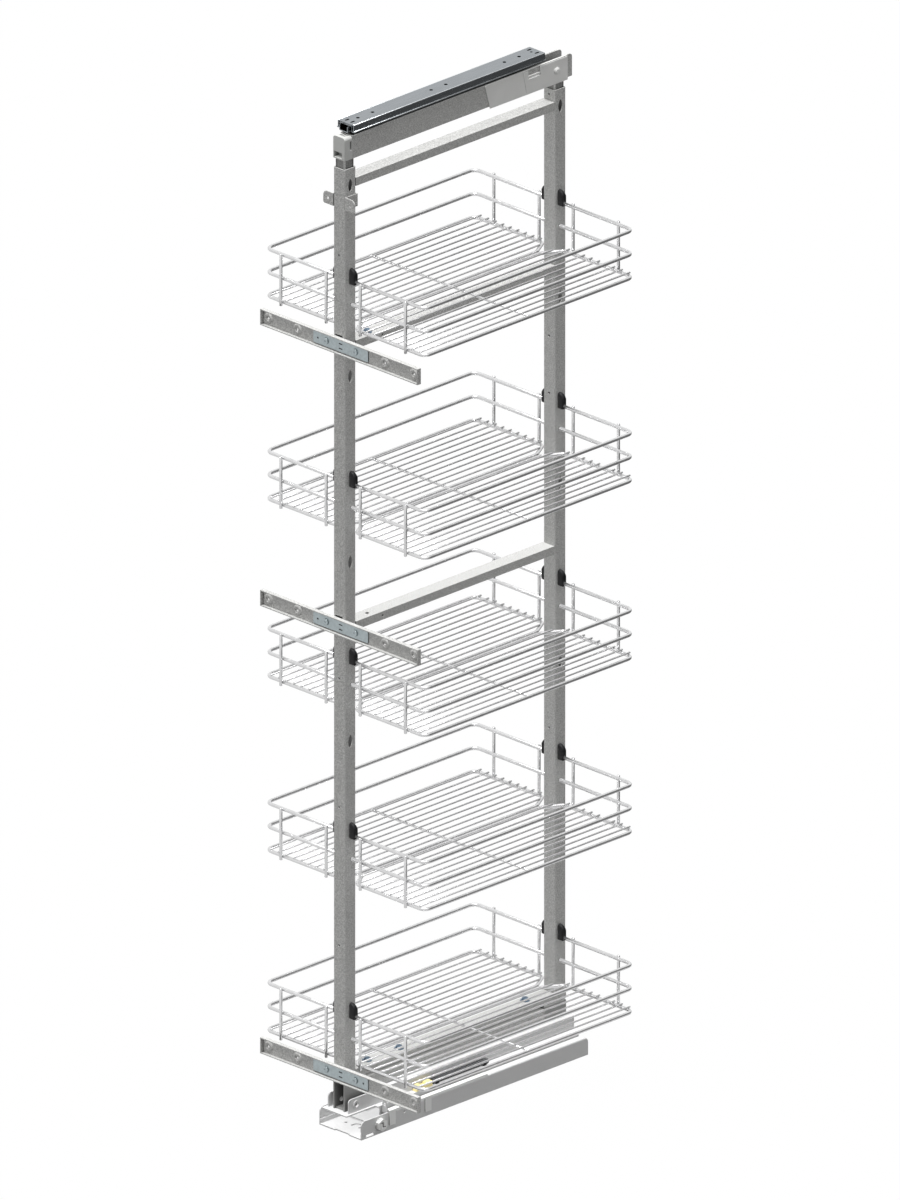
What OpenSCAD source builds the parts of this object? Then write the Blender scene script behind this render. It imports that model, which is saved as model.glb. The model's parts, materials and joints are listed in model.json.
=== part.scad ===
// Pull-out larder unit: a tall frame of square tube on a full-extension base rail,
// guided by a flat runner at the top, with wire baskets clipped on both posts
// and three brackets that carry the cabinet door.
// X is the width, -Y is the front, where the unit is drawn out, and +Z is up.
// The origin is the middle of the base housing's underside.

/* [Frame] */
// Width of the square post tube
post_w = 25; // [22:0.5:28]
// Wall of the post tube
post_wall = 1.5; // [1.2:0.1:2]
// Outside corner radius of the post tube
post_corner_r = 3; // [2:0.5:4]
// Distance between the axes of the two posts
post_spacing = 458.5; // [440:0.5:470]
// Height of the top end of the posts
post_top_z = 1617; // [1605:1:1650]
// Height of each crossbar
crossbar_h = 14; // [10:1:18]
// Wall of the crossbars and beams
crossbar_wall = 1.5; // [1:0.1:2]
// Underside of the top crossbar
crossbar_1_z = 1584; // [1575:1:1590]
// Underside of the second crossbar
crossbar_2_z = 1311; // [1300:1:1320]
// Underside of the third crossbar
crossbar_3_z = 840; // [830:1:850]
// Underside of the bottom beam, which carries the posts
beam_z = 90; // [88:0.5:92]
// Distance from a post's axis to the fixing hole on a crossbar
crossbar_hole_y = 49; // [35:1:60]
// Distance from a post's axis to the round hole in a crossbar's side
side_hole_y = 70.4; // [65:0.2:90]
// Diameter of the round hole in a crossbar's side
side_hole_dia = 4.5; // [3:0.1:6]
// Width of the pointed openings in the posts
lens_w = 9; // [6:0.5:10]
// Height of the pointed openings in the posts
lens_h = 23; // [18:0.5:26]
// Height of the first pointed opening
lens_1_z = 1588.5; // [1584:0.5:1600]
// Height of the second pointed opening
lens_2_z = 1268.5; // [1250:0.5:1285]
// Height of the third pointed opening
lens_3_z = 957; // [930:1:970]
// Height of the fourth pointed opening
lens_4_z = 657; // [640:1:670]
// Diameter of the small locating holes in the posts' front faces
dot_dia = 4; // [3:0.5:5]

/* [Baskets] */
// Width of a basket between the axes of its side rails
basket_w = 348.6; // [320:0.2:352]
// Gap between a basket's end rails and the planes through the post axes
rim_inset = 1.8; // [0:0.1:3]
// Height between two rails of a basket
rail_pitch = 39.5; // [34:0.5:44]
// Diameter of the rail wire
rim_dia = 6; // [5:0.1:6.4]
// Diameter of the upright wires
upright_dia = 5; // [4:0.1:5.5]
// Diameter of the floor wires
floor_dia = 3; // [2.5:0.1:3.5]
// How far welded wires sink into each other
weld_sink = 0.5; // [0.3:0.1:0.8]
// Distance between two floor wires
floor_pitch = 16.6; // [15.4:0.1:17]
// Distance from the middle plane to the first floor wire
floor_first_x = 14.1; // [13:0.1:15]
// Radius of the rail corners, to the wire's axis
bend_r = 12; // [10:0.5:16]
// Distance between the two wires along the middle of the floor
centre_gap = 8.4; // [7.5:0.1:10]
// Width of the niche round a post, at the rim
niche_w = 48; // [46:0.5:54]
// Depth of the niche round a post
niche_l = 34; // [32:0.5:40]
// Distance from the middle plane to the inner uprights
upright_in_x = 37.4; // [36:0.2:50]
// Distance from the middle plane to the outer uprights
upright_out_x = 137; // [110:0.5:148]
// Top rail of the first basket
basket_1_z = 1428; // [1424:1:1440]
// Top rail of the second basket
basket_2_z = 1088; // [1070:1:1100]
// Top rail of the third basket
basket_3_z = 791; // [780:1:800]
// Top rail of the fourth basket
basket_4_z = 499; // [480:1:520]
// Top rail of the bottom basket
basket_5_z = 197; // [194:1:210]
// Width of a basket clip along the depth
clip_w = 8.6; // [7.5:0.1:10]
// How far a clip stands out from its post
clip_t = 10.8; // [9:0.1:12]
// Height of a clip
clip_h = 26; // [22:0.5:30]
// Depth of the clip below the rail's axis
clip_below = 4.5; // [4:0.1:6]
// Running gap between a clip and its post
clip_gap = 0.3; // [0.2:0.05:0.5]

/* [Door brackets] */
// Length of a door bracket
bracket_l = 346; // [330:1:350]
// Height of a door bracket
bracket_h = 26.5; // [24:0.5:28]
// Depth of a door bracket
bracket_d = 7.5; // [5:0.5:9]
// Sheet thickness of the door brackets
bracket_wall = 1.5; // [1.2:0.1:2]
// Sideways setting of the brackets, which lines the door up
bracket_shift = 7.2; // [0:0.2:8]
// Height from a crossbar's underside to the top of its bracket
bracket_over_bar = 24; // [22:0.5:26]
// Distance between the outer door screw holes
door_hole_outer = 320; // [300:1:320]
// Distance between the inner door screw holes
door_hole_inner = 192; // [180:0.5:200]
// Diameter of the door screw holes
door_hole_dia = 4.4; // [4:0.1:5]
// Diameter of the pressed dish round each door screw hole
dish_dia = 19; // [14:0.5:20]
// Height of the pressed dishes
dish_h = 1; // [0.6:0.1:1.5]
// Length of an adapter plate
adapter_l = 120; // [110:1:130]
// Height of an adapter plate
adapter_h = 19; // [17:0.5:20]
// Thickness of an adapter plate
adapter_t = 2; // [1.5:0.1:2.5]
// Distance from the posts' top end down to the middle of the lug bracket
lug_drop = 56; // [48:1:62]
// Height of the lug bracket
lug_h = 21; // [18:0.5:24]
// Distance between the holes of the lug bracket
lug_hole_span = 49; // [46:0.5:52]
// Diameter of the holes of the lug bracket
lug_hole_dia = 4.2; // [3.5:0.1:5]

/* [Top] */
// Gap between the posts and the top bar, set by the extension tubes
top_gap = 15; // [12:0.5:30]
// Height of the top bar
bar_h = 38; // [34:0.5:42]
// Wall of the top bar
bar_wall = 2; // [1.5:0.1:2.5]
// Length of the top bar behind the front post's axis
bar_rear = 484; // [475:1:490]
// Depth of the cap at the front of the top bar
cap_l = 16.5; // [14:0.5:20]
// Gap all round between an extension tube and the inside of its post
tube_gap = 0.4; // [0.3:0.05:0.6]
// Length of an extension tube inside its post
tube_inside = 160; // [140:5:200]
// Start of the rear cover behind the front post's axis
cover_front = 293; // [280:1:310]
// End of the rear cover behind the front post's axis
cover_rear = 473; // [468:1:474]
// Wall of the rear cover
cover_wall = 1.5; // [1.2:0.1:2]

/* [Top runner] */
// Length of the three runner members
runner_l = 418; // [400:1:425]
// Start of the runner behind the front post's axis
runner_front = 2.4; // [0:0.2:6]
// Width of the outer runner member
runner_w = 35; // [34:0.5:40]
// Height of the runner
runner_h = 14; // [13:0.5:16]
// Sheet thickness of the runner members
runner_wall = 1.4; // [1.2:0.1:1.6]
// Diameter of the runner's balls
runner_ball = 3.6; // [3.2:0.1:4]
// Distance from the runner's front end to its first screw hole
runner_hole_first = 26.4; // [20:0.2:32]
// Diameter of the runner's screw holes
runner_hole_dia = 5.8; // [4:0.1:6.5]
// Gap between the top bar and the runner
runner_gap = 6; // [5:0.5:8]

/* [Base] */
// Length of the base housing
base_l = 495; // [490:1:520]
// Width of the base housing
base_w = 92.4; // [90:0.2:100]
// Height of the base housing
base_h = 30; // [29:0.5:33]
// Sheet thickness of the base profiles
base_wall = 2; // [1.6:0.1:2.2]
// Distance from the housing's front edge to the front post's axis
post_inset = 9.3; // [6:0.1:12]
// Distance from the housing's front edge to where its top flanges start
flange_front = 57; // [50:1:70]
// Width of the housing's inward top flanges
flange_w = 11.7; // [9:0.1:12]
// Diameter of the base rail's balls
base_ball = 6; // [5:0.1:6.4]
// Sheet-to-sheet gap in which the balls run
race_gap = 4.5; // [4:0.1:4.8]
// Width over the carriage's upright walls
carriage_w = 46; // [42:0.5:50]
// Front end of the middle rail behind the front post's axis
rail_front = 40; // [36:1:60]
// Rear end of the middle rail behind the front post's axis
rail_rear = 480; // [470:1:482]
// Length of the strip on the housing's right wall
strip_l = 214; // [180:1:230]
// Distance from the front post's axis to the side adjuster
knob_back = 31.3; // [28:0.1:36]
// Height of the carriage's shoulder plate
shoulder_z = 38.5; // [37:0.5:40]
// Height of the top of the carriage
carriage_top_z = 61.5; // [59:0.5:63]
// Front end of the carriage ahead of the front post's axis
ear_front = 14; // [12:0.5:16]
// Rear end of the carriage behind the front post's axis
carriage_rear = 478; // [470:1:480]
// Length of a post foot
foot_l = 47; // [40:1:55]
// Top of the spacer beam between the feet
spacer_top_z = 84; // [78:0.5:86]
// Distance across the floor between the cabinet screw holes
floor_hole_x = 40; // [32:1:44]
// Distance along the floor between the cabinet screw holes
floor_hole_y = 416; // [384:16:416]
// Distance from the housing's front edge to the first screw holes
floor_hole_first = 32; // [28:1:36]
// Diameter of the cabinet screw holes
floor_hole_dia = 5; // [4.5:0.1:6]

/* [Damper] */
// Diameter of the damper's body
damper_dia = 9.6; // [9:0.1:10]
// Length of the damper's body
damper_l = 121; // [100:1:130]
// Front end of the damper's body behind the front post's axis
damper_front = 162; // [150:1:180]
// Diameter of the damper's rod
rod_dia = 4; // [3:0.1:5]
// Radial running gap round rods and spindles
running_gap = 0.05; // [0.02:0.01:0.1]
// Length of the yellow catch
catch_l = 35; // [30:1:40]
// Size over the corners of the side adjuster's hexagon
knob_dia = 21; // [16:0.5:22]
// Length of the side adjuster's hexagon
knob_l = 7; // [5:0.5:9]

/* [Hidden] */
$fn = 32;
tiny = 0.01;

// Places shared by several pieces
front_y = -base_l / 2 + post_inset;
rear_y = front_y + post_spacing;
post_face = post_w / 2;
beam_top_z = beam_z + crossbar_h;
bar_z = post_top_z + top_gap;
bar_top_z = bar_z + bar_h;
runner_z = bar_top_z + runner_gap;
runner_y = front_y + runner_front;

// ---------------------------------------------------------------- outlines

// Points of an arc about c, from angle a0 to a1
function arc(c, r, a0, a1, n = 6) = [for (i = [0:n]) let(a = a0 + (a1 - a0) * i / n) c + r * [cos(a), sin(a)]];

// Outline of a rectangle with round corners, centred on the origin
function round_rect(w, h, r) = concat(
    arc([w / 2 - r, h / 2 - r], r, 0, 90), arc([-w / 2 + r, h / 2 - r], r, 90, 180),
    arc([-w / 2 + r, -h / 2 + r], r, 180, 270), arc([w / 2 - r, -h / 2 + r], r, 270, 360));

// Square tube standing on z = 0
module square_tube(w, wall, r, h) {
    difference() {
        linear_extrude(h) polygon(round_rect(w, w, r));
        translate([0, 0, -1]) linear_extrude(h + 2) polygon(round_rect(w - 2 * wall, w - 2 * wall, r - wall));
    }
}

// Extrudes an outline drawn in X and Z along Y, from y0 to y1
module along_y(y0, y1) {
    translate([0, y1, 0]) rotate([90, 0, 0]) linear_extrude(y1 - y0) children();
}

// Extrudes an outline drawn in Y and Z along X, from x0 to x1
module along_x(x0, x1) {
    translate([x0, 0, 0]) rotate([90, 0, 90]) linear_extrude(x1 - x0) children();
}

// Round bar along X, from x0 to x1
module rod_x(x0, x1, y, z, d) {
    translate([x0, y, z]) rotate([0, 90, 0]) cylinder(h = x1 - x0, d = d);
}

// Round bar along Y, from y0 to y1
module rod_y(x, y0, y1, z, d) {
    translate([x, y1, z]) rotate([90, 0, 0]) cylinder(h = y1 - y0, d = d);
}

// Box between two corners
module box(a, b) {
    translate(a) cube(b - a);
}

// The same thing on both sides of the middle plane
module both_sides() {
    children();
    mirror([1, 0, 0]) children();
}

// ---------------------------------------------------------------- bent wire

function unit(v) = v / norm(v);
// Turning angle of the path a-b-c at b
function turn(a, b, c) =
    let(u = unit(b - a), v = unit(c - b)) atan2(u.x * v.y - u.y * v.x, u * v);
// Distance from the corner b to where its bend starts
function setback(a, b, c, r) = r * tan(abs(turn(a, b, c)) / 2);

module straight_wire(a, b, d) {
    translate([a.x, a.y, 0]) rotate([0, 90, atan2(b.y - a.y, b.x - a.x)]) cylinder(h = norm(b - a), d = d);
}

module bent_wire(a, b, c, d, r) {
    t = turn(a, b, c);
    dir = unit(b - a);
    start = b - setback(a, b, c, r) * dir;
    inward = sign(t) * [-dir.y, dir.x];
    centre = start + r * inward;
    from = atan2(-inward.y, -inward.x);
    translate([centre.x, centre.y, 0]) rotate([0, 0, min(from, from + t)])
        rotate_extrude(angle = abs(t)) translate([r, 0]) circle(d = d);
}

// Wire of diameter d along points in the plane z = 0, with corners bent to radius r
module wire(pts, d, r, closed = false) {
    n = len(pts);
    function at(i) = pts[(i + n) % n];
    function cut(i) = closed || (i > 0 && i < n - 1) ? setback(at(i - 1), at(i), at(i + 1), r) : 0;
    for (i = [0 : closed ? n - 1 : n - 2]) {
        dir = unit(at(i + 1) - at(i));
        straight_wire(at(i) + cut(i) * dir, at(i + 1) - cut((i + 1) % n) * dir, d);
    }
    for (i = closed ? [0 : n - 1] : [1 : n - 2]) bent_wire(at(i - 1), at(i), at(i + 1), d, r);
}

// ---------------------------------------------------------------- baskets

rim_x = basket_w / 2;
rim_y0 = front_y + rim_inset;
rim_y1 = rear_y - rim_inset;
basket_drop = 2 * rail_pitch;
clip_x = post_face + clip_gap;
wire_end_x = clip_x + 3;
rail_end_x = post_face + 1;
floor_lift = (rim_dia + floor_dia) / 2 - weld_sink;
upright_out = (rim_dia + upright_dia) / 2 - weld_sink;
floor_overrun = 4;
upright_over = rim_dia / 2;
upright_under = 5;
weld_over = 1.6;
niche_dia = rim_dia - 0.8;
support_dia = 4;
support_lift = floor_lift - (floor_dia + support_dia) / 2 + 0.3;

// Half of a rail that runs round one side of the basket, from x0 beside the posts
module side_rail(x0) {
    wire([[x0, rim_y0], [rim_x, rim_y0], [rim_x, rim_y1], [x0, rim_y1]], rim_dia, bend_r);
}

// Wires that carry one half of the floor and leave a niche at both posts; their ends cross at the welds
module floor_loop() {
    x_in = centre_gap / 2;
    x_out = niche_w / 2;
    over_0 = weld_over * unit([x_out - x_in, -niche_l]);
    over_1 = weld_over * unit([x_out - x_in, niche_l]);
    side_rail(x_out);
    straight_wire([x_in, rim_y0 + niche_l - weld_over / 2], [x_in, rim_y1 - niche_l + weld_over / 2], rim_dia);
    straight_wire([x_out, rim_y0] + over_0, [x_in, rim_y0 + niche_l] - over_0, niche_dia);
    straight_wire([x_out, rim_y1] + over_1, [x_in, rim_y1 - niche_l] - over_1, niche_dia);
}

// How far a floor wire at x is cut back behind the niche
function niche_cut(x) =
    x < niche_w / 2 ? niche_l * (niche_w / 2 - x) / (niche_w / 2 - centre_gap / 2) : 0;

// Basket whose top rail lies at height z
module basket(z) {
    translate([0, 0, z]) color("gainsboro") {
        both_sides() {
            side_rail(wire_end_x);
            translate([0, 0, -rail_pitch]) side_rail(rail_end_x);
            translate([0, 0, -basket_drop]) floor_loop();
            for (x = [upright_in_x, upright_out_x], y = [rim_y0 - upright_out, rim_y1 + upright_out])
                translate([x, y, -basket_drop - upright_under])
                    cylinder(h = basket_drop + upright_under + upright_over, d = upright_dia);
            for (x = [floor_first_x : floor_pitch : rim_x - rim_dia])
                rod_y(x, rim_y0 + niche_cut(x), rim_y1 + (niche_cut(x) > 0 ? -niche_cut(x) : floor_overrun),
                      floor_lift - basket_drop, floor_dia);
        }
        rod_x(-rim_x, rim_x, (rim_y0 + rim_y1) / 2, support_lift - basket_drop, support_dia);
    }
}

// One clip on the right of a post at y, at rail height z, with the bore for the rail's end
module clip(y, z) {
    x1 = clip_x + clip_t;
    r = clip_w / 2;
    top = z - clip_below + clip_h;
    difference() {
        intersection() {
            along_x(clip_x, x1) translate([y, 0]) polygon(concat(
                [[-r, z - clip_below], [r, z - clip_below]], arc([0, top - r], r, 0, 180, 12)));
            along_y(y - r, y + r) polygon([
                [clip_x, z - clip_below], [x1 - 1.5, z - clip_below], [x1, z - clip_below + 1.5],
                [x1, z + rim_dia], [x1 - 3, z + rim_dia + 7], [clip_x + 3.5, top], [clip_x, top]]);
        }
        rod_x(wire_end_x, x1 + 1, y, z, rim_dia + 2 * running_gap);
    }
}

// The four clips of a basket, two on each post
module clips(z) {
    color([0.09, 0.09, 0.1]) both_sides() {
        clip(rim_y0, z);
        clip(rim_y1, z);
    }
}

module basket_1() { basket(basket_1_z); }
module basket_2() { basket(basket_2_z); }
module basket_3() { basket(basket_3_z); }
module basket_4() { basket(basket_4_z); }
module basket_5() { basket(basket_5_z); }
module basket_1_clips() { clips(basket_1_z); }
module basket_2_clips() { clips(basket_2_z); }
module basket_3_clips() { clips(basket_3_z); }
module basket_4_clips() { clips(basket_4_z); }
module basket_5_clips() { clips(basket_5_z); }

// ---------------------------------------------------------------- frame

frame_grey = [0.56, 0.56, 0.55];
zinc = [0.62, 0.68, 0.7];
bracket_web_y = front_y - post_face;
bracket_slot_w = 16;
bracket_slot_h = bracket_h + 6;

// Middle height of the door bracket that goes with a crossbar whose underside is at z
function bracket_mid(z) = z + bracket_over_bar - bracket_h / 2;

// Pointed opening through both side walls of a post, centred at height z
module lens_cut(z) {
    r = (lens_h * lens_h + lens_w * lens_w) / (4 * lens_w);
    along_x(-post_w, post_w) translate([0, z]) intersection() {
        translate([r - lens_w / 2, 0]) circle(r = r, $fn = 96);
        translate([lens_w / 2 - r, 0]) circle(r = r, $fn = 96);
    }
}

// Small hole in the front wall of a post
module dot_cut(z) {
    rod_y(0, -post_w, -post_face + post_wall + 1, z, dot_dia);
}

// Post at y, with small holes at the given distances below its top end
module post(y, drops) {
    color(frame_grey) translate([0, y, 0]) difference() {
        translate([0, 0, beam_top_z]) square_tube(post_w, post_wall, post_corner_r, post_top_z - beam_top_z);
        for (z = [lens_1_z, lens_2_z, lens_3_z, lens_4_z]) lens_cut(z);
        for (d = drops) dot_cut(post_top_z - d);
        children();
    }
}

// Opening in the front post's front wall, behind a door bracket
module bracket_slot(z) {
    box([-bracket_slot_w / 2, -post_w, bracket_mid(z) - bracket_slot_h / 2],
        [bracket_slot_w / 2, -post_face + post_wall + 1, bracket_mid(z) + bracket_slot_h / 2]);
}

module post_front() {
    post(front_y, [146, 855, 1071, 1302.5]) {
        bracket_slot(crossbar_2_z);
        bracket_slot(crossbar_3_z);
    }
}

module post_rear() {
    post(rear_y, [9, 414, 510, 1071]) {}
}

// Rectangular tube between the two posts, with its underside at z
module crossbar(z, drilled = true) {
    y0 = front_y + post_face;
    y1 = rear_y - post_face;
    color(frame_grey) difference() {
        box([-post_face, y0, z], [post_face, y1, z + crossbar_h]);
        box([-post_face + crossbar_wall, y0 - 1, z + crossbar_wall],
            [post_face - crossbar_wall, y1 + 1, z + crossbar_h - crossbar_wall]);
        if (drilled) {
            rod_x(-post_w, post_w, front_y + side_hole_y, z + crossbar_h / 2, side_hole_dia);
            translate([0, front_y + crossbar_hole_y, z + crossbar_h / 2])
                cylinder(h = crossbar_h, d = screw_hole_dia);
        }
    }
}

module crossbar_1() { crossbar(crossbar_1_z, false); }
module crossbar_2() { crossbar(crossbar_2_z); }
module crossbar_3() { crossbar(crossbar_3_z); }

// Beam under both posts, which ties them to the feet
module bottom_beam() {
    y0 = front_y - post_face;
    y1 = rear_y + post_face;
    color(frame_grey) difference() {
        box([-post_face, y0, beam_z], [post_face, y1, beam_top_z]);
        box([-post_face + crossbar_wall, y0 - 1, beam_z + crossbar_wall],
            [post_face - crossbar_wall, y1 + 1, beam_top_z - crossbar_wall]);
        for (y = beam_screw_y) translate([0, front_y + y, beam_top_z - crossbar_wall - 1])
            cylinder(h = crossbar_wall + 2, d = screw_hole_dia);
    }
}

screw_hole_dia = 6.4;
screw_dia = 6;
screw_head_dia = 10;
washer_dia = 15;
beam_screw_y = [49, 118.7, 393.8];

// Hexagon screw with a washer, standing on a top face at y and z
module hex_screw(y, z) {
    translate([0, y, z]) {
        cylinder(h = 1.2, d = washer_dia);
        translate([0, 0, 1.2 - tiny]) cylinder(h = 4, d = screw_head_dia, $fn = 6);
        translate([0, 0, -crossbar_wall - 5]) cylinder(h = crossbar_wall + 5 + 1, d = screw_dia);
    }
}

module crossbar_screws() {
    color(zinc) {
        hex_screw(front_y + crossbar_hole_y, crossbar_2_z + crossbar_h);
        for (y = beam_screw_y) hex_screw(front_y + y, beam_top_z);
    }
}

// ---------------------------------------------------------------- front fixings

// Shallow tray that the cabinet door is screwed to, open to the front
module door_bracket(z) {
    mid = bracket_mid(z);
    x0 = bracket_shift - bracket_l / 2;
    x1 = bracket_shift + bracket_l / 2;
    y0 = bracket_web_y - bracket_d;
    color(frame_grey) difference() {
        union() {
            difference() {
                box([x0, y0, mid - bracket_h / 2], [x1, bracket_web_y, mid + bracket_h / 2]);
                box([x0 + bracket_wall, y0 - 1, mid - bracket_h / 2 + bracket_wall],
                    [x1 - bracket_wall, bracket_web_y - bracket_wall, mid + bracket_h / 2 - bracket_wall]);
            }
            for (x = door_hole_x) translate([bracket_shift + x, bracket_web_y - bracket_wall + tiny, mid])
                rotate([90, 0, 0]) cylinder(h = dish_h, d1 = dish_dia, d2 = dish_dia - 5);
        }
        for (x = door_hole_x) rod_y(bracket_shift + x, y0, bracket_web_y + 1, mid, door_hole_dia);
        for (x = rivet_x) rod_y(bracket_shift + x, y0, bracket_web_y + 1, mid, rivet_dia + 0.2);
    }
}

door_hole_x = [-door_hole_outer / 2, -door_hole_inner / 2, door_hole_inner / 2, door_hole_outer / 2];
rivet_x = [-32, 32];
rivet_dia = 6;

// Zinc plate on the bracket that sets the door's height, with a small hole on side s
module adapter_plate(z, s = -1) {
    mid = bracket_mid(z);
    y1 = bracket_web_y - bracket_wall;
    color(zinc) difference() {
        translate([bracket_shift, 0, mid]) along_y(y1 - adapter_t, y1)
            polygon(round_rect(adapter_l, adapter_h, 2));
        for (x = rivet_x) rod_y(bracket_shift + x, y1 - adapter_t - 1, y1 + 1, mid, rivet_dia + 0.2);
        for (zz = [-4, 4]) translate([bracket_shift, 0, mid + zz]) along_y(y1 - adapter_t - 1, y1 + 1)
            polygon(round_rect(8, 2, 0.9));
        rod_y(bracket_shift + s * (adapter_l / 2 - 10), y1 - adapter_t - 1, y1 + 1, mid, 3.4);
    }
}

// Rivets that hold an adapter plate on its bracket
module rivets(z) {
    y1 = bracket_web_y - bracket_wall - adapter_t;
    for (x = rivet_x) {
        rod_y(bracket_shift + x, y1 - tiny, bracket_web_y, bracket_mid(z), rivet_dia);
        rod_y(bracket_shift + x, y1 - 1.2, y1, bracket_mid(z), rivet_dia + 4);
    }
}

module bracket_rivets() {
    color(zinc) {
        rivets(crossbar_2_z);
        rivets(crossbar_3_z);
        rivets(beam_z);
    }
}

module door_bracket_1() { door_bracket(crossbar_2_z); }
module door_bracket_2() { door_bracket(crossbar_3_z); }
module door_bracket_3() { door_bracket(beam_z); }
module adapter_plate_1() { adapter_plate(crossbar_2_z); }
module adapter_plate_2() { adapter_plate(crossbar_3_z); }
module adapter_plate_3() { adapter_plate(beam_z, 1); }

lug_z = post_top_z - lug_drop;
lug_wall = 1.5;
lug_out = 34.5;
lug_leg = 27;
lug_corner_r = 8;

// Bracket that hugs the front post and holds out a lug with a hole on each side
module lug_bracket() {
    x_in = post_face + 0.2;
    y0 = front_y - post_face;
    color(frame_grey) difference() {
        union() {
            both_sides() {
                box([x_in, y0, lug_z - lug_h / 2], [x_in + lug_wall, y0 + lug_leg, lug_z + lug_h / 2]);
                along_y(y0, y0 + lug_wall) polygon(concat(
                    [[x_in, lug_z - lug_h / 2], [lug_out - 2, lug_z - lug_h / 2],
                     [lug_out, lug_z - lug_h / 2 + 2]],
                    arc([lug_out - lug_corner_r, lug_z + lug_h / 2 - lug_corner_r], lug_corner_r, 0, 90),
                    [[x_in, lug_z + lug_h / 2]]));
            }
            box([-x_in - lug_wall, y0 + lug_leg - lug_wall, lug_z - lug_h / 2],
                [x_in + lug_wall, y0 + lug_leg, lug_z + lug_h / 2]);
        }
        for (x = [-lug_hole_span / 2, lug_hole_span / 2])
            rod_y(x, y0 - 1, y0 + lug_wall + 1, lug_z, lug_hole_dia);
    }
}

// ---------------------------------------------------------------- top bar

bar_y0 = front_y - post_face + cap_l;
bar_y1 = front_y + bar_rear;
tube_w = post_w - 2 * post_wall - 2 * tube_gap;
tube_wall = 2.5;
pocket_depth = 1.4;
pocket_rim = 2.6;
plastic_grey = [0.8, 0.8, 0.79];

// Tube that slides in a post and carries the top bar, with a window behind the post's top openings
module extension_tube(y) {
    window_z = lens_1_z - post_top_z + tube_inside;
    color(frame_grey) translate([0, y, post_top_z - tube_inside]) difference() {
        square_tube(tube_w, tube_wall, tube_wall + 0.2, tube_inside + top_gap);
        for (a = [0 : 90 : 270]) rotate([0, 0, a])
            box([tube_w / 2 - pocket_depth, -tube_w / 2 + pocket_rim, 20],
                [tube_w, tube_w / 2 - pocket_rim, tube_inside + top_gap - 1.5]);
        box([-tube_w, -lens_w / 2 - 1, window_z - lens_h / 2 - 2],
            [tube_w, lens_w / 2 + 1, window_z + lens_h / 2 + 2]);
    }
}

module extension_tube_front() { extension_tube(front_y); }
module extension_tube_rear() { extension_tube(rear_y); }

// Channel, open at the top, with the rear ends of its walls rounded
module top_bar() {
    color(frame_grey) difference() {
        along_x(-post_face, post_face) polygon(concat(
            [[bar_y0, bar_z], [bar_y1, bar_z]], arc([bar_y1 - 6, bar_top_z - 6], 6, 0, 90),
            [[bar_y0, bar_top_z]]));
        box([-post_face + bar_wall, bar_y0 - 1, bar_z + bar_wall],
            [post_face - bar_wall, bar_y1 + 1, bar_top_z + 1]);
    }
}

// Cap that closes the front of the top bar and plugs into its channel
module top_bar_cap() {
    y0 = front_y - post_face;
    plug_w = post_w - 2 * bar_wall - 0.2;
    color(plastic_grey) difference() {
        union() {
            along_y(y0, bar_y0) polygon(concat(
                [[-post_face, bar_z], [post_face, bar_z]],
                arc([post_face - 5, bar_top_z - 5], 5, 0, 90),
                arc([-post_face + 5, bar_top_z - 5], 5, 90, 180)));
            box([-plug_w / 2, bar_y0 - tiny, bar_z + bar_wall + 0.1], [plug_w / 2, bar_y0 + 14, bar_top_z - 6]);
            for (x = [-4.5 : 4.5 : 4.5])
                box([x - 0.9, y0 + 6, bar_top_z - tiny], [x + 0.9, bar_y0 - 1, bar_top_z + 1]);
        }
        box([-post_face + 1.4, y0 - 1, bar_z + 2], [post_face - 6, y0 + 10, bar_z + 12]);
        both_sides()
            box([post_face - 8, bar_y0 - 5, bar_top_z - 23], [post_face + 1, bar_y0 - 0.8, bar_top_z - 8]);
    }
}

// Covers on both sides of the top bar's rear; their rear part stands a little proud
module rear_cover() {
    x0 = post_face + 0.2;
    x1 = x0 + cover_wall;
    z0 = bar_z - 3;
    z1 = bar_top_z + 0.5;
    y0 = front_y + cover_front;
    y1 = front_y + cover_rear;
    y_step = y1 - 98;
    color(plastic_grey) difference() {
        both_sides() {
            along_x(x0, x1) polygon(concat(
                [[y0 + 11, z0], [y1, z0]], arc([y1 - 2, z1 - 2], 2, 0, 90), arc([y0 + 3, z1 - 3], 3, 90, 165)));
            along_x(x1 - tiny, x1 + 0.8) polygon([
                [y_step + 8, z0 + 3], [y1 - 1.5, z0 + 3], [y1 - 1.5, z1 - 2], [y_step, z1 - 2]]);
        }
        box([x1 - 0.7, y1 - 87, z1 - 16], [x1 + 2, y1 - 60, z1 - 12]);
        box([x0 - 1, y1 - 87, z1 - 11], [x1 + 2, y1 - 60, z1 - 1.2]);
        rod_x(x0 - 1, x1 + 2, y1 - button_back, button_z, button_dia + 2 * running_gap);
    }
}

button_dia = 12;
button_back = 24.6;
button_z = bar_z + 19;

// Round button through the cover's right side
module cover_button() {
    x0 = post_face + 0.2;
    x1 = x0 + cover_wall + 0.8;
    y = front_y + cover_rear - button_back;
    color(plastic_grey) {
        rod_x(x0 + tiny, x1 + 0.8, y, button_z, button_dia);
        translate([x1 + 0.8 - tiny, y, button_z]) rotate([0, 90, 0])
            cylinder(h = 1.6, d1 = button_dia - 0.4, d2 = button_dia - 6);
    }
}

// Two blocks in the channel that the runner's inner member is screwed to
module runner_saddles() {
    w = post_w - 2 * bar_wall - 0.1;
    color([0.12, 0.12, 0.13]) for (y = [runner_y + 40, runner_y + runner_l - 70])
        box([-w / 2, y, bar_z + bar_wall], [w / 2, y + 30, runner_z]);
}

// ---------------------------------------------------------------- top runner

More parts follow.
